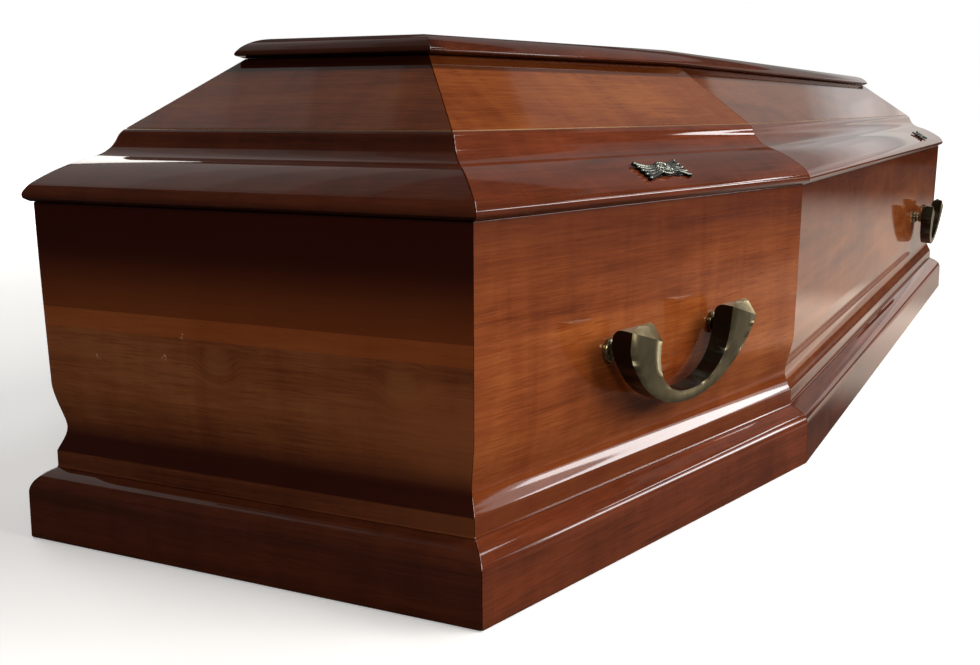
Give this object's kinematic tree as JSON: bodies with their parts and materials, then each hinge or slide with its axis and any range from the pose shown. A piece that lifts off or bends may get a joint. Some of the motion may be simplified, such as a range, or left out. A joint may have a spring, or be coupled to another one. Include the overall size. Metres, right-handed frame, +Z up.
{
  "type": "wooden coffin",
  "caption": "Hexagonal lacquered wooden coffin with moulded plinth, lift-off hipped lid, cast bail handles and lid ornaments, empty inside.",
  "frame": {"origin": "middle of the coffin's underside", "axes": "+X along the coffin towards the foot end, +Z up, the side that the picture shows faces -Y"},
  "size_m": [2.0564, 0.6392, 0.4335],
  "materials": {
    "side_wood": "figured mahogany veneer under high-gloss lacquer",
    "moulding_wood": "dark red-brown stained moulding under high-gloss lacquer",
    "raw_board": "plain sanded board, unfinished",
    "antique_bronze": "cast, darkened in the recesses and burnished on the front faces"
  },
  "bodies": {
    "root": {"bottom_board": "raw_board", "wall_head": "side_wood", "plinth_head": "moulding_wood", "lid_rim_head": "moulding_wood", "lid_slope_head": "side_wood", "wall_shoulder_right": "side_wood", "plinth_shoulder_right": "moulding_wood", "lid_rim_shoulder_right": "moulding_wood", "lid_slope_shoulder_right": "side_wood", "wall_long_right": "side_wood", "plinth_long_right": "moulding_wood", "lid_rim_long_right": "moulding_wood", "lid_slope_long_right": "side_wood", "wall_foot": "side_wood", "plinth_foot": "moulding_wood", "lid_rim_foot": "moulding_wood", "lid_slope_foot": "side_wood", "wall_long_left": "side_wood", "plinth_long_left": "moulding_wood", "lid_rim_long_left": "moulding_wood", "lid_slope_long_left": "side_wood", "wall_shoulder_left": "side_wood", "plinth_shoulder_left": "moulding_wood", "lid_rim_shoulder_left": "moulding_wood", "lid_slope_shoulder_left": "side_wood", "lid_top_board": "moulding_wood", "handle_bail_head_right": "antique_bronze", "handle_post_a_head_right": "antique_bronze", "handle_post_b_head_right": "antique_bronze", "lid_ornament_head_right": "antique_bronze", "handle_bail_foot_right": "antique_bronze", "handle_post_a_foot_right": "antique_bronze", "handle_post_b_foot_right": "antique_bronze", "lid_ornament_foot_right": "antique_bronze", "handle_bail_head_left": "antique_bronze", "handle_post_a_head_left": "antique_bronze", "handle_post_b_head_left": "antique_bronze", "lid_ornament_head_left": "antique_bronze", "handle_bail_foot_left": "antique_bronze", "handle_post_a_foot_left": "antique_bronze", "handle_post_b_foot_left": "antique_bronze", "lid_ornament_foot_left": "antique_bronze"}
  },
  "joints": []
}
